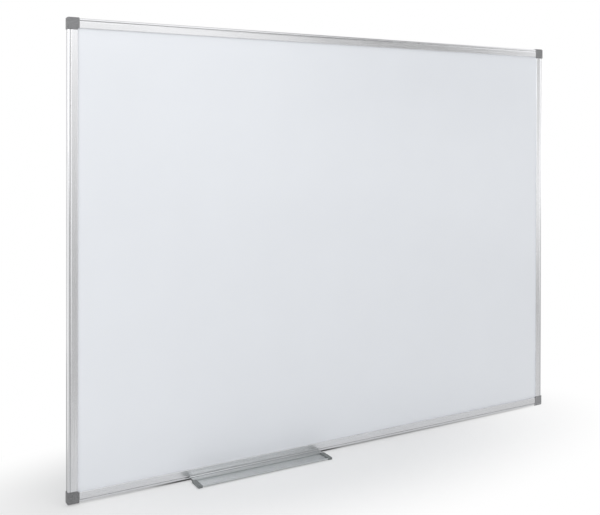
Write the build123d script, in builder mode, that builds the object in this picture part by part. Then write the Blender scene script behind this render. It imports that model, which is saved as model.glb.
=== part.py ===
from build123d import *

import os

# A wall-mounted dry-wipe board in an aluminium frame, with pull-off corner covers and a pen tray that
# slides along the bottom rail. Millimetres. X runs to the viewer's right, Y into the wall and Z up.
# The origin is on the wall plane, at the centre of the four wall screws.
#
# Two local systems are used. A rail's section is drawn inward from the board's outer edge and forward
# from the wall. A corner piece is drawn inward from the side edge and inward from the top or bottom
# edge, and grows forward from the wall.

# Board
board_width = 1200.0
board_height = 900.0
rail_width = 19.0
rail_wall = 1.2

# Panel, from the writing surface back to the wall
sheet_thickness = 0.4
core_thickness = 7.0
backing_thickness = 0.3
pocket_clearance = 0.1
panel_edge_gap = 0.3

# Rail section, across the front face
bead_radius = 2.6
bead_width = 4.2
bead_fall = 0.3
groove_width = 1.2
groove_depth = 0.9
strip_width = 2.2
strip_rise = 0.5
ridge_radius = 0.6
face_fall = 0.2
inner_step = 2.8
inner_edge_radius = 0.9
back_edge_radius = 0.4

# Rail section, inside
slot_mouth = 1.8
slot_width = 5.0
slot_depth = 1.8
slot_centre = 5.0
chamber_width = 4.8
flange_reach = 4.8

# Corner covers
cover_overhang = 3.0
cover_proud = 1.0
cover_wall = 1.5
cover_gap = 0.3
cover_radius = 3.0
cover_chamfer = 4.0
cover_edge_radius = 0.6
skirt_lift = 0.4
skirt_gap = 0.3
prong_width = 2.8
prong_thickness = 1.4
prong_length = 6.0
prong_clearance = 0.3
prong_margin = 0.8

# Corner brackets
wall_screw_inset = 10.0
wall_hole_radius = 2.5
counterbore_radius = 5.0
counterbore_depth = 4.0
block_margin = 2.6
notch_gap = 0.3
leg_length = 30.0
leg_fit = 0.2
leg_chamfer = 1.2

# Corner screws
screw_setback = 14.0
screw_length = 7.5
screw_tip_length = 1.2
screw_tip_radius = 0.3
shank_radius = 1.45
head_radius = 2.6
head_recess = 0.1
thread_relief = 0.05
countersink_relief = 0.15
countersink_angle = 90.0
recess_length = 3.0
recess_width = 0.7
recess_depth = 0.8

# Pen tray
tray_length = 300.0
tray_offset = -206.0
tray_reach = 43.6
tray_wall = 1.4
tray_gap = 0.3
tray_back = 0.8
stem_thickness = 1.2
ledge_reach = 11.5
ledge_height = 1.5
ledge_wall = 0.9
ledge_radius = 0.4
floor_drop = 0.7
tray_groove_width = 2.0
tray_groove_depth = 0.3
lip_height = 1.6
lip_back_radius = 0.3
lip_front_radius = 1.0
tray_toe_radius = 0.9

# Tray end caps
cap_end = 3.0
cap_sleeve = 6.5
cap_wrap = 0.8
cap_rise = 0.6
cap_clearance = 0.2
cap_radius = 0.8

# How far a cut runs past what it cuts
overrun = 1.0

# Derived from the values above
panel_thickness = sheet_thickness + core_thickness + backing_thickness
panel_back = rail_wall + pocket_clearance / 2
sheet_front = panel_back + panel_thickness
pocket_front = sheet_front + pocket_clearance / 2
inner_edge_front = pocket_front + inner_step
frame_depth = inner_edge_front + face_fall

slot_floor = rail_wall + slot_depth
chamber_start = slot_floor + rail_wall
chamber_end = chamber_start + chamber_width
pocket_side = chamber_end + rail_wall
panel_inset = pocket_side + panel_edge_gap

groove_end = bead_width + groove_width
ridge_place = groove_end + strip_width
strip_front = frame_depth - strip_rise
groove_floor = strip_front - groove_depth
chamber_front = groove_floor - rail_wall
face_slope = face_fall / (rail_width - ridge_place)

corner_size = rail_width + cover_overhang
cover_size = corner_size - cover_gap
cover_back = frame_depth - cover_wall
cover_inside = cover_wall - cover_proud
block_start = cover_inside + cover_gap
block_radius = cover_radius - cover_wall - cover_gap
block_front = cover_back - cover_gap
arm_opening = pocket_side + cover_gap - cover_inside
block_reach = wall_screw_inset + counterbore_radius + block_margin
panel_notch = block_reach + notch_gap - panel_inset

prong_slot_width = prong_width + 2 * prong_clearance
prong_slot_thickness = prong_thickness + 2 * prong_clearance
prong_far = block_reach - prong_margin - prong_slot_width / 2
prong_near = block_start + prong_margin + prong_slot_thickness / 2
prong_tip = cover_back - prong_length

leg_back = rail_wall + leg_fit
leg_height = chamber_front - rail_wall - 2 * leg_fit
leg_tip = corner_size + leg_length
screw_place = corner_size + screw_setback
screw_line = (chamber_start + chamber_end) / 2
head_height = head_radius - shank_radius

plate_top = -tray_gap
floor_top = plate_top - floor_drop
plate_bottom = floor_top - tray_wall
lip_top = floor_top + lip_height
tray_front = frame_depth + tray_reach
ledge_back = strip_front + bead_fall + tray_gap
ledge_front = frame_depth + ledge_reach
cap_back = ledge_front + cap_clearance
cap_front = tray_front + cap_wrap
cap_bottom = plate_bottom - cap_wrap
cap_top = lip_top + cap_rise

forward = (0, -1, 0)
backward = (0, 1, 0)
low_corner = (Align.MIN, Align.MIN)
diagonal = Plane(origin=(0, 0, 0), z_dir=(1, -1, 0))

# Where each rail's section is drawn: local x runs inward and local y runs forward
section_planes = {
    "top": Plane(origin=(0, 0, board_height / 2), x_dir=(0, 0, -1), z_dir=(-1, 0, 0)),
    "bottom": Plane(origin=(0, 0, -board_height / 2), x_dir=(0, 0, 1), z_dir=(1, 0, 0)),
    "left": Plane(origin=(-board_width / 2, 0, 0), x_dir=(1, 0, 0), z_dir=(0, 0, -1)),
    "right": Plane(origin=(board_width / 2, 0, 0), x_dir=(-1, 0, 0), z_dir=(0, 0, 1)),
}

# Which way each corner lies from the middle of the board: across, then up
corners = {
    "top_left": (-1, 1),
    "top_right": (1, 1),
    "bottom_left": (-1, -1),
    "bottom_right": (1, -1),
}


def face_height(inward):
    """How far forward the rail's front face stands, between its ridge and its inner edge."""
    return frame_depth - (inward - ridge_place) * face_slope


def corner_plane(across, up, distance_forward):
    """A plane on a corner of the board, with local x and y both running inward."""
    return Plane(
        origin=(across * board_width / 2, -distance_forward, up * board_height / 2),
        x_dir=(-across, 0, 0),
        z_dir=(0, -across * up, 0),
    )


def corner_seat(across, up, inward_x, inward_z, distance_forward, facing):
    """A plane square to the wall at a place measured inward from a corner's two edges."""
    return Plane(
        origin=(
            across * (board_width / 2 - inward_x),
            -distance_forward,
            up * (board_height / 2 - inward_z),
        ),
        z_dir=facing,
    )


def screw_seats(across, up, distance_forward):
    """Where a corner's two screws enter: one in each rail, facing the wall."""
    return [
        corner_seat(across, up, screw_place, screw_line, distance_forward, backward),
        corner_seat(across, up, screw_line, screw_place, distance_forward, backward),
    ]


def prong_outline(width, thickness):
    """The two prongs of a cover, or the slots for them, one on each side of the wall screw."""
    with BuildSketch() as outline:
        with Locations((prong_far, prong_near)):
            Rectangle(width, thickness)
        mirror(about=diagonal)
    return outline.sketch


def write(piece, name):
    """Label a finished piece and write its file."""
    piece.part.label = name
    export_step(piece.part, f"parts/{name}.step")


os.makedirs("parts", exist_ok=True)

# Rail section: beaded front, T-slot in the outer edge, chamber for the legs and pocket for the panel
rail_points = {
    (0, 0): back_edge_radius,
    (pocket_side + flange_reach, 0): 0,
    (pocket_side + flange_reach, rail_wall): 0,
    (pocket_side, rail_wall): 0,
    (pocket_side, face_height(pocket_side) - rail_wall): 0,
    (rail_width - rail_wall, face_height(rail_width - rail_wall) - rail_wall): 0,
    (rail_width - rail_wall, pocket_front): 0,
    (rail_width, pocket_front): 0,
    (rail_width, inner_edge_front): inner_edge_radius,
    (ridge_place, frame_depth): ridge_radius,
    (groove_end, strip_front): 0,
    (bead_width + groove_width / 2, groove_floor): 0,
    (bead_width, strip_front): 0,
    (0, strip_front + bead_fall): bead_radius,
}
with BuildSketch() as rail_section:
    with BuildLine():
        FilletPolyline(*rail_points.keys(), radius=rail_points.values(), close=True)
    make_face()
    with Locations((chamber_start, rail_wall)):
        Rectangle(
            chamber_width,
            chamber_front - rail_wall,
            align=low_corner,
            mode=Mode.SUBTRACT,
        )
    with Locations((rail_wall, slot_centre - slot_width / 2)):
        Rectangle(slot_depth, slot_width, align=low_corner, mode=Mode.SUBTRACT)
    with Locations((-overrun, slot_centre - slot_mouth / 2)):
        Rectangle(
            overrun + rail_wall + slot_depth / 2,
            slot_mouth,
            align=low_corner,
            mode=Mode.SUBTRACT,
        )

# Cover outline: a square that stands proud of the board's corner, rounded there and chamfered inside
with BuildSketch() as cover_outline:
    with BuildLine():
        FilletPolyline(
            (-cover_proud, -cover_proud),
            (cover_size, -cover_proud),
            (cover_size, cover_size - cover_chamfer),
            (cover_size - cover_chamfer, cover_size),
            (-cover_proud, cover_size),
            radius=(cover_radius, 0, 0, 0, 0),
            close=True,
        )
    make_face()

# Tray section: foot and stem in the slot, hollow rear ledge, groove, floor and front lip
stem_back = slot_centre - stem_thickness / 2
stem_front = slot_centre + stem_thickness / 2
foot_back = slot_centre - slot_width / 2 + tray_gap
foot_bottom = rail_wall + tray_gap
foot_top = slot_floor - tray_gap
groove_bottom = floor_top - tray_groove_depth
groove_front = ledge_front + tray_groove_width
lip_back = tray_front - tray_wall
tray_points = {
    (plate_bottom, tray_back): 0,
    (plate_top, tray_back): 0,
    (plate_top, stem_back): 0,
    (foot_bottom, stem_back): 0,
    (foot_bottom, foot_back): 0,
    (foot_top, foot_back): 0,
    (foot_top, stem_front): 0,
    (plate_top, stem_front): 0,
    (plate_top, ledge_back): 0,
    (ledge_height, ledge_back): ledge_radius,
    (ledge_height, ledge_front): ledge_radius,
    (groove_bottom, ledge_front): 0,
    (groove_bottom, groove_front): 0,
    (floor_top, groove_front): 0,
    (floor_top, lip_back): 0,
    (lip_top, lip_back): lip_back_radius,
    (lip_top, tray_front): lip_front_radius,
    (plate_bottom, tray_front): tray_toe_radius,
}
with BuildSketch() as tray_section:
    with BuildLine():
        FilletPolyline(*tray_points.keys(), radius=tray_points.values(), close=True)
    make_face()
    with Locations((plate_bottom + ledge_wall, ledge_back + ledge_wall)):
        Rectangle(
            ledge_height - plate_bottom - 2 * ledge_wall,
            ledge_front - ledge_back - 2 * ledge_wall,
            align=low_corner,
            mode=Mode.SUBTRACT,
        )

# Panel: three flat layers with a square notch in each corner, clear of the brackets
layers = {
    "backing_sheet": (panel_back, backing_thickness),
    "panel_core": (panel_back + backing_thickness, core_thickness),
    "writing_sheet": (sheet_front - sheet_thickness, sheet_thickness),
}
for name, (layer_back, layer_thickness) in layers.items():
    with BuildPart() as layer:
        with BuildSketch(Plane(origin=(0, -layer_back, 0), x_dir=(1, 0, 0), z_dir=forward)):
            panel_width = board_width - 2 * panel_inset
            panel_height = board_height - 2 * panel_inset
            Rectangle(panel_width, panel_height)
            with GridLocations(panel_width, panel_height, 2, 2):
                Rectangle(2 * panel_notch, 2 * panel_notch, mode=Mode.SUBTRACT)
        extrude(amount=layer_thickness)
    write(layer, name)

# Rails: one extrusion, cut square where the corner covers begin, with two countersunk holes each
for name, plane in section_planes.items():
    edge_length = board_width if name in ("top", "bottom") else board_height
    with BuildPart() as rail:
        with BuildSketch(plane):
            add(rail_section.sketch)
        extrude(amount=edge_length / 2 - corner_size, both=True)
        for corner, (across, up) in corners.items():
            if name in corner:
                seat = screw_seats(across, up, 0)[name in ("left", "right")]
                with Locations(seat):
                    CounterSinkHole(
                        radius=shank_radius + countersink_relief,
                        counter_sink_radius=head_radius + countersink_relief,
                        depth=rail_wall + leg_fit,
                        counter_sink_angle=countersink_angle,
                    )
    write(rail, f"{name}_rail")

# Corner brackets: a block round the wall screw, with an arm to each rail's end and a leg inside it
for name, (across, up) in corners.items():
    with BuildPart() as bracket:
        with BuildSketch(corner_plane(across, up, 0)):
            with BuildLine():
                FilletPolyline(
                    (block_start, block_start),
                    (corner_size, block_start),
                    (corner_size, pocket_side),
                    (block_reach, pocket_side),
                    (block_reach, block_reach),
                    (pocket_side, block_reach),
                    (pocket_side, corner_size),
                    (block_start, corner_size),
                    radius=(block_radius, 0, 0, 0, 0, 0, 0, 0),
                    close=True,
                )
            make_face()
        extrude(amount=block_front, dir=forward)
        with BuildSketch(corner_plane(across, up, leg_back)):
            with BuildLine():
                leg_near = chamber_start + leg_fit
                leg_far = chamber_end - leg_fit
                Polyline(
                    (block_reach, leg_near),
                    (leg_tip - leg_chamfer, leg_near),
                    (leg_tip, leg_near + leg_chamfer),
                    (leg_tip, leg_far - leg_chamfer),
                    (leg_tip - leg_chamfer, leg_far),
                    (block_reach, leg_far),
                    close=True,
                )
            make_face()
            mirror(about=diagonal)
        extrude(amount=leg_height, dir=forward)
        with Locations(
            corner_seat(across, up, wall_screw_inset, wall_screw_inset, block_front, forward)
        ):
            CounterBoreHole(
                radius=wall_hole_radius,
                counter_bore_radius=counterbore_radius,
                counter_bore_depth=counterbore_depth,
            )
        with BuildSketch(corner_plane(across, up, prong_tip - prong_clearance)):
            add(prong_outline(prong_slot_width, prong_slot_thickness))
        extrude(amount=prong_length + overrun, dir=forward, mode=Mode.SUBTRACT)
        with Locations(*screw_seats(across, up, leg_back)):
            Cylinder(
                radius=shank_radius + thread_relief,
                height=screw_length,
                align=(Align.CENTER, Align.CENTER, Align.MAX),
                mode=Mode.SUBTRACT,
            )
    write(bracket, f"corner_bracket_{name}")

# Corner covers: a plate, skirts down the two outer faces, a short skirt over the sheet, two prongs
for name, (across, up) in corners.items():
    with BuildPart() as cover:
        with BuildSketch(corner_plane(across, up, cover_back)):
            add(cover_outline.sketch)
        extrude(amount=cover_wall, dir=forward)
        fillet(cover.faces().sort_by(Axis.Y)[0].edges(), radius=cover_edge_radius)
        with BuildSketch(corner_plane(across, up, skirt_lift)):
            add(cover_outline.sketch)
            with Locations((cover_inside, cover_inside)):
                RectangleRounded(
                    board_width,
                    board_width,
                    cover_radius - cover_wall,
                    align=low_corner,
                    mode=Mode.SUBTRACT,
                )
        extrude(amount=cover_back - skirt_lift, dir=forward)
        with BuildSketch(corner_plane(across, up, sheet_front + skirt_gap)):
            add(cover_outline.sketch)
            offset(amount=-cover_wall, kind=Kind.INTERSECTION, mode=Mode.SUBTRACT)
            with Locations((cover_inside, cover_inside)):
                Rectangle(corner_size, arm_opening, align=low_corner, mode=Mode.SUBTRACT)
                Rectangle(arm_opening, corner_size, align=low_corner, mode=Mode.SUBTRACT)
        extrude(amount=cover_back - sheet_front - skirt_gap, dir=forward)
        with BuildSketch(corner_plane(across, up, prong_tip)):
            add(prong_outline(prong_width, prong_thickness))
        extrude(amount=prong_length, dir=forward)
    write(cover, f"corner_cover_{name}")

# Corner screws: a countersunk self-tapping screw through each rail's back wall into a leg
for name, (across, up) in corners.items():
    with BuildPart() as screws:
        head_top = (Align.CENTER, Align.CENTER, Align.MAX)
        seats = screw_seats(across, up, head_recess)
        with Locations(*seats):
            Cone(
                bottom_radius=shank_radius,
                top_radius=head_radius,
                height=head_height,
                align=head_top,
            )
            Cylinder(radius=shank_radius, height=screw_length - screw_tip_length, align=head_top)
        with Locations(*[seat.offset(screw_tip_length - screw_length) for seat in seats]):
            Cone(
                bottom_radius=screw_tip_radius,
                top_radius=shank_radius,
                height=screw_tip_length,
                align=head_top,
            )
        with Locations(*seats):
            Box(
                recess_length,
                recess_width,
                2 * recess_depth,
                mode=Mode.SUBTRACT,
            )
            Box(
                recess_width,
                recess_length,
                2 * recess_depth,
                mode=Mode.SUBTRACT,
            )
    write(screws, f"corner_screws_{name}")

# Pen tray: an extrusion whose foot hangs in the bottom rail's slot
tray_plane = section_planes["bottom"].offset(tray_offset)
with BuildPart() as tray:
    with BuildSketch(tray_plane):
        add(tray_section.sketch)
    extrude(amount=tray_length / 2, both=True)
write(tray, "pen_tray")

# Tray end caps: a block in front of the ledge that grips the end of the tray's floor and lip
for name, side in {"left": -1, "right": 1}.items():
    end_plane = tray_plane.offset(side * tray_length / 2)
    with BuildPart() as cap:
        with BuildSketch(end_plane.offset(side * cap_end)):
            with Locations((cap_bottom, cap_back)):
                Rectangle(cap_top - cap_bottom, cap_front - cap_back, align=low_corner)
        extrude(amount=-side * (cap_end + cap_sleeve))
        outer_face = cap.faces().sort_by(Axis.X)[-1 if side > 0 else 0]
        fillet(outer_face.edges(), radius=cap_radius)
        with BuildSketch(end_plane):
            add(tray_section.sketch)
        extrude(amount=-side * (cap_sleeve + overrun), mode=Mode.SUBTRACT)
    write(cap, f"tray_end_cap_{name}")
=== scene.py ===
import math

import bpy
from mathutils import Matrix, Vector


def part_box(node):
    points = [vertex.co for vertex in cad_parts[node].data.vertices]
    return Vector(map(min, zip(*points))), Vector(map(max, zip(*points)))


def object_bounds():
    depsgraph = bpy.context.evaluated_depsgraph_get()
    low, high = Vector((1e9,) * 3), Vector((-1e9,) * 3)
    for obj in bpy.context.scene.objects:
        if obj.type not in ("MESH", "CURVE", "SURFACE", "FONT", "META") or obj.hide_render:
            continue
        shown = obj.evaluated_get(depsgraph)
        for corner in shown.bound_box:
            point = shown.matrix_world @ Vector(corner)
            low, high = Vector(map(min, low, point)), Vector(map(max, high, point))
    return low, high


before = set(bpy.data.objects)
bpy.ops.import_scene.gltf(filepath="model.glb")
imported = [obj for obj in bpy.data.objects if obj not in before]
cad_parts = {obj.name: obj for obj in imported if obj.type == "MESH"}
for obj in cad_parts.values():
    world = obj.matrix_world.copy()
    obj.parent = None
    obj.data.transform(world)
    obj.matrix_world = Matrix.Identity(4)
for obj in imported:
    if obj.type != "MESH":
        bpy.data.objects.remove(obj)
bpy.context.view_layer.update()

# All is in metres and degrees, apart from the lens and its sensor, which are in millimetres. The board
# faces -Y, its wall is at Y = 0, and +X is to the right of someone who faces it.

# The board's half width and height, and where the tray's middle is at rest
HALF_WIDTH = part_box("right_rail")[1].x
HALF_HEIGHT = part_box("top_rail")[1].z
TRAY_CENTRE = sum(corner.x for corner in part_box("pen_tray")) / 2

# The photograph's view
CAMERA_PLACE = (-1.0068, -1.5869, 0.2358)
CAMERA_TURN = 29.724
CAMERA_TILT = -0.329
CAMERA_ROLL = 0.102
CAMERA_SHIFT = -0.1978
CAMERA_LENS = 51.15
SENSOR_WIDTH = 36.0

# The two lamps, with their power in watts, and the world's even fill
LEFT_LAMP_PLACE = (-2.3, -2.0, 1.2)
LEFT_LAMP_AIM = (-0.3, 0.0, 0.0)
LEFT_LAMP_SIZE = (2.2, 2.2)
LEFT_LAMP_POWER = 31
TOP_LAMP_PLACE = (0.0, -1.3, 2.6)
TOP_LAMP_AIM = (0.0, -0.1, 0.0)
TOP_LAMP_SIZE = (3.0, 2.2)
TOP_LAMP_POWER = 22.5
FILL_COLOUR = (0.96, 0.98, 1.0)
FILL_LEVEL = 0.375

# The floor, and the oval in which it fades from its own tone to white: its centre along X, and how far
# it reaches. The fade starts at a share of the way out, and is never less than the last value.
FLOOR_SIZE = 14.0
FLOOR_DROP = 0.0008
FLOOR_TONE = 0.93
FADE_CENTRE = -0.13
FADE_ACROSS = 0.92
FADE_IN_FRONT = 0.41
FADE_BEHIND = 0.36
FADE_START = 0.275
FADE_LEAST = 0.22

# The painted shadow line where the board almost touches the floor, in two parts. A reach is where a
# part begins
# to fade and where it is gone: from the line's place along Y, or from the tray's middle along X.
CONTACT_PLACE = -0.0015
CONTACT_REACH = (0.0035, 0.0065)
CONTACT_BY_TRAY = 0.88
CONTACT_BY_TRAY_REACH = (0.165, 0.245)
CONTACT_TO_RIGHT = 0.28
CONTACT_TO_RIGHT_REACH = (0.70, 0.84)

# The floor in reflections: the tone near the board as a share of its own, and the white part's tones,
# with the places between which one gives way to the next. The right part's edge slants with Y.
NEAR_FLOOR_IN_GLOSS = 0.92
MIDDLE_FLOOR_IN_GLOSS = 0.67
FAR_FLOOR_IN_GLOSS = 0.52
FAR_FLOOR_EDGE = (-1.0, -0.2)
RIGHT_FLOOR_IN_GLOSS = 0.98
RIGHT_FLOOR_EDGE = (1.0, 1.9)
RIGHT_FLOOR_SLANT = 0.5
LEFT_FLOOR_IN_GLOSS = 0.95
LEFT_FLOOR_EDGE = (-0.95, -0.60)

# The studio in reflections. A bearing is an angle from -Y towards +X. All other edges are the sine of
# an angle upwards, or towards +Y for the back's edge. A depth darkens the white, a gain brightens it.
FLAG_DEPTH = 0.93
FLAG_BEARINGS = (26, 36, 42.5, 46.5)
FLAG_BOTTOM = (-0.03, 0.05)
FLAG_TOP = (0.50, 0.75)
HORIZON_DEPTH = 0.84
HORIZON_BEARINGS = (0, 8, 17, 28)
HORIZON_TOP = (0.05, 0.16)
BACK_DEPTH = 0.56
BACK_EDGE = (-0.05, 0.15)
BACK_RISE = (0.1, 0.4)
CEILING_DEPTH = 0.56
CEILING_RISE = (0.40, 0.70)
LEFT_CARD_GAIN = 0.50
LEFT_CARD_BEARINGS = (3, 13, 20, 30)
RIGHT_CARD_GAIN = 0.46
RIGHT_CARD_BEARINGS = (44, 51)

# Colours, and the painted light and shade that make each corner cover lighter or darker than their
# colour
FRAME_COLOUR = (0.862, 0.866, 0.882)
TRAY_COLOUR = (0.603, 0.626, 0.633)
LACQUER_COLOUR = (0.836, 0.857, 0.894)
CORE_COLOUR = (0.38, 0.26, 0.15)
BACKING_COLOUR = (0.60, 0.62, 0.63)
SCREW_COLOUR = (0.68, 0.68, 0.66)
TRAY_CAP_COLOUR = (0.18, 0.195, 0.195)
BRACKET_COLOUR = (0.035, 0.035, 0.038)
COVER_COLOUR = (0.225, 0.225, 0.23)
COVER_PAINTED_LIGHT_AND_SHADE = {"top_left": 1.0, "top_right": 1.05, "bottom_left": 0.83, "bottom_right": 1.26}
WHITE = (1.0, 1.0, 1.0)
BLACK = (0.0, 0.0, 0.0)

# How dull each finish is, as its roughness
FRAME_DULLNESS = 0.25
TRAY_DULLNESS = 0.30
TRAY_CAP_DULLNESS = 0.42
BRACKET_DULLNESS = 0.52
COVER_DULLNESS = 0.46
FIBRE_DULLNESS = 0.88

# Finishes. A scale is a number of features to the metre, and a stretch the share of it that is left
# along each axis. Tints are the darkest and the lightest shade of a colour, and a relief is a strength
# and a depth. A range of dullness is added to that of the finish, or stands alone.

# Extruded aluminium
DIE_LINE_SCALE = 2600
DIE_LINE_DULLNESS = (-0.05, 0.05)
DIE_LINE_RELIEF = (0.16, 0.00002)
BROAD_LINE_SCALE = 520
BROAD_LINE_TONE = (0.7, 1.0)
LINE_STRETCH = 0.004
ETCH_SCALE = 5200
ETCH_RELIEF = (0.10, 0.00002)
DRIFT_SCALE = 5
ALUMINIUM_TINTS = (0.965, 1.02)

# The painted shade, with some grime, in the groove along the frame's front: how far in from the board's
# edge it lies, how far it reaches to either side, the place along Y that it stays in front of, and its
# tint
GROOVE_INSET = 0.0048
GROOVE_REACH = (0.0005, 0.0010)
GROOVE_FRONT = -0.0090
GROOVE_SHADE_AND_GRIME = 0.80

# The bead outside the groove, which hands and cloths keep smoother: its inner edge, in from the board's
# edge, and the share of dullness that it loses
BEAD_EDGE = (0.0044, 0.0040)
BEAD_POLISH = 0.5

# White lacquer
PEEL_SCALE = 420
PEEL_RELIEF = (0.05, 0.00004)
WAVE_SCALE = 9
LACQUER_TINTS = (0.992, 1.004)
WIPING_SCALE = 34
WIPING_STRETCH = (0.35, 1, 1)
WIPING_DULLNESS = (0.17, 0.25)
LACQUER_IOR = 1.5
COAT_WEIGHT = 0.25
COAT_DULLNESS = 0.06

# Moulded plastic. The speckle is fine dust, and shares the tone with the slow flow mottling.
GRAIN_SCALE = 2600
BRACKET_GRAIN_SCALE = 1800
GRAIN_DULLNESS = (-0.06, 0.07)
GRAIN_RELIEF = (0.22, 0.00005)
MOTTLE_SCALE = 120
SPECKLE_SCALE = 420
SPECKLE_EDGES = (0.38, 0.62)
SPECKLE_SHARE = 0.7
PLASTIC_TINTS = (0.73, 1.27)
PLASTIC_IOR = 1.49

# Galvanised sheet. The warp bends the outlines of the crystals.
SPANGLE_SCALE = 85
WARP_SCALE = 45
WARP_SHARE = 0.012
SPANGLE_TINTS = (0.90, 1.05)
SPANGLE_DULLNESS = (0.36, 0.50)
ROLLING_SCALE = 900
ROLLING_STRETCH = (0.01, 1, 1)
ROLLING_RELIEF = (0.12, 0.00004)

# Fibreboard
FIBRE_SCALE = 700
FIBRE_STRETCH = (0.3, 1, 1)
FIBRE_RELIEF = (0.35, 0.0001)
BLOTCH_SCALE = 60
BLOTCH_TONE = (0.6, 1.0)
FIBRE_TINTS = (0.72, 1.18)

# Zinc plate
TURNING_SCALE = 3800
TURNING_STRETCH = (1, 0.1, 1)
TURNING_DULLNESS = (0.22, 0.36)
TURNING_RELIEF = (0.14, 0.00004)
STAIN_SCALE = 900
ZINC_TINTS = (0.88, 1.05)

# Nearly all of a noise's values lie between these two
NOISE_EDGES = (0.3, 0.7)

# Edges that turn by more than this stay sharp
SMOOTH_ANGLE = 32.0


def connect(tree, node, values):
    """Set or link a node's inputs, given by name or place. A colour is given as three numbers."""
    for name, value in values.items():
        socket = node.inputs[name]
        if isinstance(value, bpy.types.NodeSocket):
            tree.links.new(value, socket)
        elif socket.type == "RGBA":
            socket.default_value = (*value, 1)
        else:
            socket.default_value = value


def grow(tree, kind, values=None, **settings):
    """Add a node with its own settings, and set or link its inputs."""
    made = tree.nodes.new(kind)
    for name, setting in settings.items():
        setattr(made, name, setting)
    connect(tree, made, values or {})
    return made


def math_node(tree, operation, *values):
    return grow(tree, "ShaderNodeMath", dict(enumerate(values)), operation=operation).outputs[0]


def chain(tree, operation, first, *others):
    """Apply one operation to all of the values, one after another."""
    for other in others:
        first = math_node(tree, operation, first, other)
    return first


def times(tree, *values):
    return chain(tree, "MULTIPLY", *values)


def greatest(tree, *values):
    return chain(tree, "MAXIMUM", *values)


def apart(tree, first, second):
    """How far apart two numbers are."""
    return math_node(tree, "ABSOLUTE", math_node(tree, "SUBTRACT", first, second))


def remap(tree, value, source, target, **settings):
    """Map one range of numbers onto another, and go no further than its ends."""
    ends = {"From Min": source[0], "From Max": source[1], "To Min": target[0], "To Max": target[1]}
    return grow(tree, "ShaderNodeMapRange", {"Value": value, **ends}, **settings).outputs[0]


def spread(tree, value, target=(0, 1), source=NOISE_EDGES):
    """Map a noise onto a range of numbers."""
    return remap(tree, value, source, target)


def ramp(tree, value, edges, ends=(0, 1)):
    """A smooth step between two places."""
    return remap(tree, value, edges, ends, interpolation_type="SMOOTHSTEP")


def hump(tree, value, edges, top=1):
    """Rise from 0 between the first two places, and fall to 0 again between the last two."""
    return times(tree, ramp(tree, value, edges[:2]), ramp(tree, value, edges[2:], (top, 0)))


def by_ray(tree, plain, mirrored):
    """One value for reflections and another for all other rays."""
    in_gloss = grow(tree, "ShaderNodeLightPath").outputs["Is Glossy Ray"]
    return remap(tree, in_gloss, (0, 1), (plain, mirrored))


def own_place(tree):
    """A place in the object's own coordinates, in metres."""
    return grow(tree, "ShaderNodeTexCoord").outputs["Object"]


def axes_of(tree, vector):
    """A vector's X, Y and Z."""
    return grow(tree, "ShaderNodeSeparateXYZ", {0: vector}).outputs[:]


def noise(tree, scale, detail=2.0, roughness=0.5, stretch=(1, 1, 1), output="Fac"):
    """Noise from 0 to 1, drawn out along the axes whose stretch is small."""
    place = grow(tree, "ShaderNodeMapping", {"Vector": own_place(tree), "Scale": stretch}).outputs[0]
    values = {"Vector": place, "Scale": scale, "Detail": detail, "Roughness": roughness}
    return grow(tree, "ShaderNodeTexNoise", values).outputs[output]


def relief(tree, height, size, under=None):
    """Small bumps of a strength and a depth, which can lie over other bumps."""
    strength, depth = size
    values = {"Height": height, "Strength": strength, "Distance": depth}
    if under is not None:
        values["Normal"] = under
    return grow(tree, "ShaderNodeBump", values).outputs[0]


def tinted(colour, factor):
    """A colour made lighter or darker, with no part of it over 1."""
    return tuple(min(1.0, part * factor) for part in colour)


def blend(tree, share, first, second):
    """Mix two colours by a share from 0 to 1."""
    return grow(tree, "ShaderNodeMix", {0: share, 6: first, 7: second}, data_type="RGBA").outputs[2]


def shades(tree, share, colour, tints):
    """The darkest to the lightest shade of a colour, by a share from 0 to 1."""
    return blend(tree, share, *(tinted(colour, tint) for tint in tints))


def around(level, steps):
    """A range of numbers on both sides of a level."""
    return [level + step for step in steps]


def surface(name):
    """A new material, its node tree and its main shader."""
    material = bpy.data.materials.new(name)
    material.use_nodes = True
    return material, material.node_tree, material.node_tree.nodes["Principled BSDF"]


def groove_and_bead(tree, axis, half_size):
    """Two shares from 0 to 1: the groove in the frame's front, darkened by painted shade and some
    grime, and the bead.
    """
    places = axes_of(tree, own_place(tree))
    outward = math_node(tree, "ABSOLUTE", places["XYZ".index(axis)])
    off_line = apart(tree, outward, half_size - GROOVE_INSET)
    in_front = math_node(tree, "LESS_THAN", places[1], GROOVE_FRONT)
    groove = times(tree, ramp(tree, off_line, GROOVE_REACH, (1, 0)), in_front)
    bead = ramp(tree, outward, [half_size - inset for inset in BEAD_EDGE])
    return groove, bead


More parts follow.
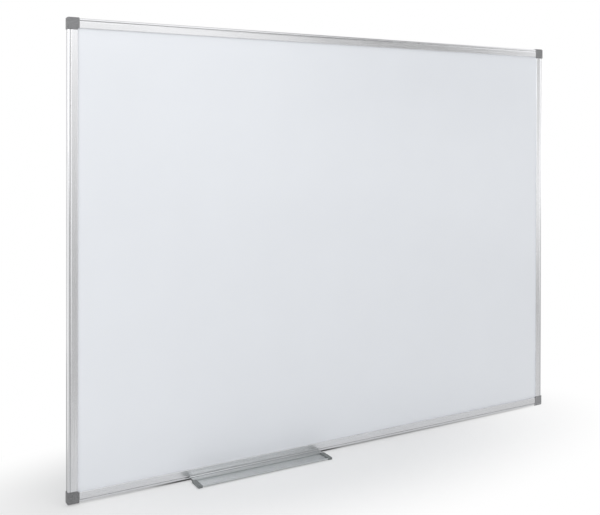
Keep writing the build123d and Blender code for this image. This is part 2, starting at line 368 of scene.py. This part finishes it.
def extruded_aluminium(name, colour, level, along, outward=None, half_size=None):
    """Anodised extrusion: fine die lines along its length, an etched grain and a slow drift in tone.

    A rail is also given the axis outwards and the board's half size along it, for its groove and bead.
    """
    material, tree, shader = surface(name)
    stretch = [LINE_STRETCH if axis == along else 1 for axis in "XYZ"]
    die_lines = noise(tree, DIE_LINE_SCALE, roughness=0.6, stretch=stretch)
    broad_lines = noise(tree, BROAD_LINE_SCALE, stretch=stretch)
    grain = noise(tree, ETCH_SCALE, detail=1.0)
    drift = noise(tree, DRIFT_SCALE)
    tone = times(tree, spread(tree, drift), spread(tree, broad_lines, BROAD_LINE_TONE))
    metal = shades(tree, tone, colour, ALUMINIUM_TINTS)
    dullness = spread(tree, die_lines, around(level, DIE_LINE_DULLNESS))
    if outward:
        groove, bead = groove_and_bead(tree, outward, half_size)
        # Painted shade, with some grime, darkens the groove's colour.
        metal = blend(tree, groove, metal, tinted(colour, GROOVE_SHADE_AND_GRIME))
        dullness = times(tree, dullness, ramp(tree, bead, (0, 1), (1, 1 - BEAD_POLISH)))
    bumps = relief(tree, grain, ETCH_RELIEF, under=relief(tree, die_lines, DIE_LINE_RELIEF))
    finish = {"Base Color": metal, "Metallic": 1.0, "Roughness": dullness, "Normal": bumps}
    connect(tree, shader, finish)
    return material


def lacquered_steel(name, colour):
    """Glossy white lacquer: a faint orange peel, and the barely seen sweep of wiping."""
    material, tree, shader = surface(name)
    peel = noise(tree, PEEL_SCALE)
    waves = noise(tree, WAVE_SCALE)
    wiped = noise(tree, WIPING_SCALE, detail=3.0, roughness=0.6, stretch=WIPING_STRETCH)
    finish = {
        "Base Color": shades(tree, spread(tree, waves), colour, LACQUER_TINTS),
        "Roughness": spread(tree, wiped, WIPING_DULLNESS),
        "IOR": LACQUER_IOR,
        "Coat Weight": COAT_WEIGHT,
        "Coat Roughness": COAT_DULLNESS,
        "Normal": relief(tree, peel, PEEL_RELIEF),
    }
    connect(tree, shader, finish)
    return material


def moulded_plastic(name, colour, level, grain_scale=GRAIN_SCALE):
    """Moulded plastic: a spark-eroded grain, a speckle of fine dust and slow flow mottling."""
    material, tree, shader = surface(name)
    grain = noise(tree, grain_scale, roughness=0.6)
    mottle = spread(tree, noise(tree, MOTTLE_SCALE, detail=3.0, roughness=0.55))
    speckle = spread(tree, noise(tree, SPECKLE_SCALE, roughness=0.6), source=SPECKLE_EDGES)
    flow = times(tree, mottle, 1 - SPECKLE_SHARE)
    tone = math_node(tree, "MULTIPLY_ADD", speckle, SPECKLE_SHARE, flow)
    finish = {
        "Base Color": shades(tree, tone, colour, PLASTIC_TINTS),
        "Roughness": spread(tree, grain, around(level, GRAIN_DULLNESS)),
        "IOR": PLASTIC_IOR,
        "Normal": relief(tree, grain, GRAIN_RELIEF),
    }
    connect(tree, shader, finish)
    return material


def galvanised_sheet(name, colour):
    """Zinc-coated steel: crystal spangles that differ in tone and gloss, under long rolling marks."""
    material, tree, shader = surface(name)
    warp = noise(tree, WARP_SCALE, output="Color")
    warped = {0: WARP_SHARE, 4: own_place(tree), 5: warp}
    place = grow(tree, "ShaderNodeMix", warped, data_type="VECTOR").outputs[1]
    spangles = grow(tree, "ShaderNodeTexVoronoi", {"Vector": place, "Scale": SPANGLE_SCALE})
    crystal = grow(tree, "ShaderNodeSeparateColor", {"Color": spangles.outputs["Color"]}).outputs[0]
    rolled = noise(tree, ROLLING_SCALE, stretch=ROLLING_STRETCH)
    finish = {
        "Base Color": shades(tree, crystal, colour, SPANGLE_TINTS),
        "Metallic": 1.0,
        "Roughness": spread(tree, crystal, SPANGLE_DULLNESS, source=(0, 1)),
        "Normal": relief(tree, rolled, ROLLING_RELIEF),
    }
    connect(tree, shader, finish)
    return material


def fibreboard(name, colour):
    """Raw fibreboard: short dark and pale fibres pressed flat."""
    material, tree, shader = surface(name)
    fibres = noise(tree, FIBRE_SCALE, detail=4.0, roughness=0.7, stretch=FIBRE_STRETCH)
    blotches = noise(tree, BLOTCH_SCALE, detail=3.0)
    tone = times(tree, spread(tree, fibres), spread(tree, blotches, BLOTCH_TONE))
    finish = {
        "Base Color": shades(tree, tone, colour, FIBRE_TINTS),
        "Roughness": FIBRE_DULLNESS,
        "Normal": relief(tree, fibres, FIBRE_RELIEF),
    }
    connect(tree, shader, finish)
    return material


def zinc_plate(name, colour):
    """Bright zinc plate over turned steel, with the marks of the header tool."""
    material, tree, shader = surface(name)
    turned = noise(tree, TURNING_SCALE, stretch=TURNING_STRETCH)
    stain = noise(tree, STAIN_SCALE)
    finish = {
        "Base Color": shades(tree, spread(tree, stain), colour, ZINC_TINTS),
        "Metallic": 1.0,
        "Roughness": spread(tree, turned, TURNING_DULLNESS),
        "Normal": relief(tree, turned, TURNING_RELIEF),
    }
    connect(tree, shader, finish)
    return material


def dress(node, material):
    """Give a CAD node its material and smooth its curved faces, leaving its shape alone."""
    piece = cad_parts[node]
    piece.data.materials.clear()
    piece.data.materials.append(material)
    for face in piece.data.polygons:
        face.use_smooth = True
    piece.data.set_sharp_from_angle(angle=math.radians(SMOOTH_ANGLE))


def dress_board():
    """The four rails, the panel's three layers and the pen tray."""
    across = extruded_aluminium(
        "frame_aluminium_across", FRAME_COLOUR, FRAME_DULLNESS, "X", outward="Z", half_size=HALF_HEIGHT
    )
    upright = extruded_aluminium(
        "frame_aluminium_upright", FRAME_COLOUR, FRAME_DULLNESS, "Z", outward="X", half_size=HALF_WIDTH
    )
    tray_metal = extruded_aluminium("tray_aluminium", TRAY_COLOUR, TRAY_DULLNESS, "X")
    cap_plastic = moulded_plastic("tray_cap_plastic", TRAY_CAP_COLOUR, TRAY_CAP_DULLNESS)
    dress("writing_sheet", lacquered_steel("white_lacquer", LACQUER_COLOUR))
    dress("panel_core", fibreboard("core_fibreboard", CORE_COLOUR))
    dress("backing_sheet", galvanised_sheet("backing_zinc", BACKING_COLOUR))
    dress("top_rail", across)
    dress("bottom_rail", across)
    dress("left_rail", upright)
    dress("right_rail", upright)
    dress("pen_tray", tray_metal)
    dress("tray_end_cap_left", cap_plastic)
    dress("tray_end_cap_right", cap_plastic)


def dress_corners():
    """The covers, each lightened or darkened by painted light and shade at its corner, and the brackets
    and screws behind them.
    """
    bracket_plastic = moulded_plastic(
        "bracket_plastic", BRACKET_COLOUR, BRACKET_DULLNESS, BRACKET_GRAIN_SCALE
    )
    screw_zinc = zinc_plate("screw_zinc", SCREW_COLOUR)
    for corner, tone in COVER_PAINTED_LIGHT_AND_SHADE.items():
        # The tone paints the light and shade at this corner onto the cover's colour.
        colour = tinted(COVER_COLOUR, tone)
        cover_plastic = moulded_plastic(f"corner_cover_plastic_{corner}", colour, COVER_DULLNESS)
        dress(f"corner_cover_{corner}", cover_plastic)
        dress(f"corner_bracket_{corner}", bracket_plastic)
        dress(f"corner_screws_{corner}", screw_zinc)


def empty_tree(owner):
    """The node tree of a material or a world, with nothing in it yet."""
    owner.use_nodes = True
    owner.node_tree.nodes.clear()
    return owner.node_tree


def mix_shaders(tree, share, first, second):
    return grow(tree, "ShaderNodeMixShader", {0: share, 1: first, 2: second}).outputs[0]


def floor_fade(tree, x, y):
    """How far the floor has faded to white, in an oval that reaches further in front than behind."""
    across = math_node(tree, "DIVIDE", math_node(tree, "SUBTRACT", x, FADE_CENTRE), FADE_ACROSS)
    in_front = math_node(tree, "DIVIDE", math_node(tree, "MINIMUM", y, 0.0), FADE_IN_FRONT)
    behind = math_node(tree, "DIVIDE", greatest(tree, y, 0.0), FADE_BEHIND)
    away = math_node(tree, "ADD", behind, in_front)
    squares = [times(tree, part, part) for part in (across, away)]
    distance = math_node(tree, "SQRT", math_node(tree, "ADD", *squares))
    return ramp(tree, distance, (FADE_START, 1), (FADE_LEAST, 1))


def painted_contact_shadow(tree, x, y):
    """How dark the painted shadow on the floor is in the narrow gap under the board: most by the tray,
    less to its right.
    """
    distance = apart(tree, x, TRAY_CENTRE)
    by_tray = ramp(tree, distance, CONTACT_BY_TRAY_REACH, (CONTACT_BY_TRAY, 0))
    to_right = ramp(tree, distance, CONTACT_TO_RIGHT_REACH, (CONTACT_TO_RIGHT, 0))
    to_right = times(tree, to_right, math_node(tree, "GREATER_THAN", x, TRAY_CENTRE))
    near_line = ramp(tree, apart(tree, y, CONTACT_PLACE), CONTACT_REACH, (1, 0))
    return times(tree, greatest(tree, by_tray, to_right), near_line)


def floor_in_gloss(tree, x, y):
    """The white floor's tone in reflections: dim in front of the board, and bright to either side."""
    ahead = ramp(tree, y, FAR_FLOOR_EDGE, (FAR_FLOOR_IN_GLOSS, MIDDLE_FLOOR_IN_GLOSS))
    rightward = math_node(tree, "MULTIPLY_ADD", y, RIGHT_FLOOR_SLANT, x)
    right = ramp(tree, rightward, RIGHT_FLOOR_EDGE, (0, RIGHT_FLOOR_IN_GLOSS))
    left = ramp(tree, x, LEFT_FLOOR_EDGE, (LEFT_FLOOR_IN_GLOSS, 0))
    return greatest(tree, ahead, right, left)


def pale_floor(name):
    """A pale floor that takes the board's shadow near it, has a painted shadow line under the board,
    and fades to white further off.
    """
    material = bpy.data.materials.new(name)
    tree = empty_tree(material)
    x, y = axes_of(tree, own_place(tree))[:2]
    tone = by_ray(tree, FLOOR_TONE, FLOOR_TONE * NEAR_FLOOR_IN_GLOSS)
    matt = grow(tree, "ShaderNodeBsdfDiffuse", {"Color": tone}).outputs[0]
    level = by_ray(tree, 1.0, floor_in_gloss(tree, x, y))
    white = grow(tree, "ShaderNodeEmission", {"Color": WHITE, "Strength": level}).outputs[0]
    painted_shadow = grow(tree, "ShaderNodeBsdfDiffuse", {"Color": BLACK}).outputs[0]
    open_floor = mix_shaders(tree, floor_fade(tree, x, y), matt, white)
    # A black sheet mixed in here paints the shadow line under the board.
    shaded_floor = mix_shaders(tree, painted_contact_shadow(tree, x, y), open_floor, painted_shadow)
    grow(tree, "ShaderNodeOutputMaterial", {"Surface": shaded_floor})
    return material


def make_floor():
    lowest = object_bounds()[0].z
    bpy.ops.mesh.primitive_plane_add(size=FLOOR_SIZE, location=(0, 0, lowest - FLOOR_DROP))
    floor = bpy.context.object
    floor.name = "studio_floor"
    floor.data.materials.append(pale_floor("studio_floor"))


def studio_in_gloss(tree):
    """The studio's level in reflections, where 1 is white.

    It has a grey flag at the front right, a dim band at the horizon, a darker ceiling and back, and a
    bright card on each side.
    """
    x, y, z = axes_of(tree, grow(tree, "ShaderNodeTexCoord").outputs["Generated"])
    bearing = math_node(tree, "DEGREES", math_node(tree, "ARCTAN2", x, times(tree, y, -1.0)))
    flag_height = times(tree, ramp(tree, z, FLAG_BOTTOM), ramp(tree, z, FLAG_TOP, (1, 0)))
    flag = times(tree, flag_height, hump(tree, bearing, FLAG_BEARINGS, FLAG_DEPTH))
    near_horizon = ramp(tree, z, HORIZON_TOP, (HORIZON_DEPTH, 0))
    horizon = times(tree, near_horizon, hump(tree, bearing, HORIZON_BEARINGS))
    back = times(tree, ramp(tree, y, BACK_EDGE), ramp(tree, z, BACK_RISE, (0, BACK_DEPTH)))
    ceiling = ramp(tree, z, CEILING_RISE, (0, CEILING_DEPTH))
    darkened = greatest(tree, flag, horizon, back, ceiling)
    left_card = hump(tree, bearing, LEFT_CARD_BEARINGS, LEFT_CARD_GAIN)
    right_card = ramp(tree, bearing, RIGHT_CARD_BEARINGS, (0, RIGHT_CARD_GAIN))
    brightened = math_node(tree, "ADD", 1.0, greatest(tree, left_card, right_card))
    return math_node(tree, "SUBTRACT", brightened, darkened)


def make_world():
    """White to the camera, the studio to reflections, and an even fill on everything else."""
    world = bpy.data.worlds.new("studio")
    bpy.context.scene.world = world
    tree = empty_tree(world)
    rays = grow(tree, "ShaderNodeLightPath").outputs
    seen = greatest(tree, *(rays[f"Is {kind} Ray"] for kind in ("Camera", "Glossy", "Transmission")))
    level = by_ray(tree, 1.0, studio_in_gloss(tree))
    studio = grow(tree, "ShaderNodeBackground", {"Color": WHITE, "Strength": level}).outputs[0]
    fill = grow(tree, "ShaderNodeBackground", {"Color": FILL_COLOUR, "Strength": FILL_LEVEL}).outputs[0]
    grow(tree, "ShaderNodeOutputWorld", {"Surface": mix_shaders(tree, seen, fill, studio)})


def make_lamp(name, place, aim, size, power, in_gloss=True):
    """A rectangular soft box, which can be kept out of the reflections."""
    data = bpy.data.lights.new(name, "AREA")
    data.shape = "RECTANGLE"
    data.size, data.size_y = size
    data.energy = power
    lamp = bpy.data.objects.new(name, data)
    lamp.location = place
    lamp.visible_glossy = in_gloss
    lamp.rotation_euler = (Vector(aim) - Vector(place)).to_track_quat("-Z", "Y").to_euler()
    bpy.context.scene.collection.objects.link(lamp)


def make_camera():
    """The photograph's camera, which is turned, tilted and rolled in that order."""
    data = bpy.data.cameras.new("camera")
    data.sensor_width = SENSOR_WIDTH
    data.lens = CAMERA_LENS
    data.shift_y = CAMERA_SHIFT
    camera = bpy.data.objects.new("camera", data)
    turn = Matrix.Rotation(-math.radians(CAMERA_TURN), 4, "Z")
    tilt = Matrix.Rotation(math.radians(90 + CAMERA_TILT), 4, "X")
    roll = Matrix.Rotation(math.radians(CAMERA_ROLL), 4, "Z")
    camera.matrix_world = Matrix.Translation(CAMERA_PLACE) @ turn @ tilt @ roll
    bpy.context.scene.collection.objects.link(camera)
    bpy.context.scene.camera = camera


dress_board()
dress_corners()
make_floor()
make_world()
make_lamp("soft_box_left", LEFT_LAMP_PLACE, LEFT_LAMP_AIM, LEFT_LAMP_SIZE, LEFT_LAMP_POWER)
make_lamp("soft_box_above", TOP_LAMP_PLACE, TOP_LAMP_AIM, TOP_LAMP_SIZE, TOP_LAMP_POWER, in_gloss=False)
make_camera()

bpy.context.scene.view_settings.view_transform = "Standard"
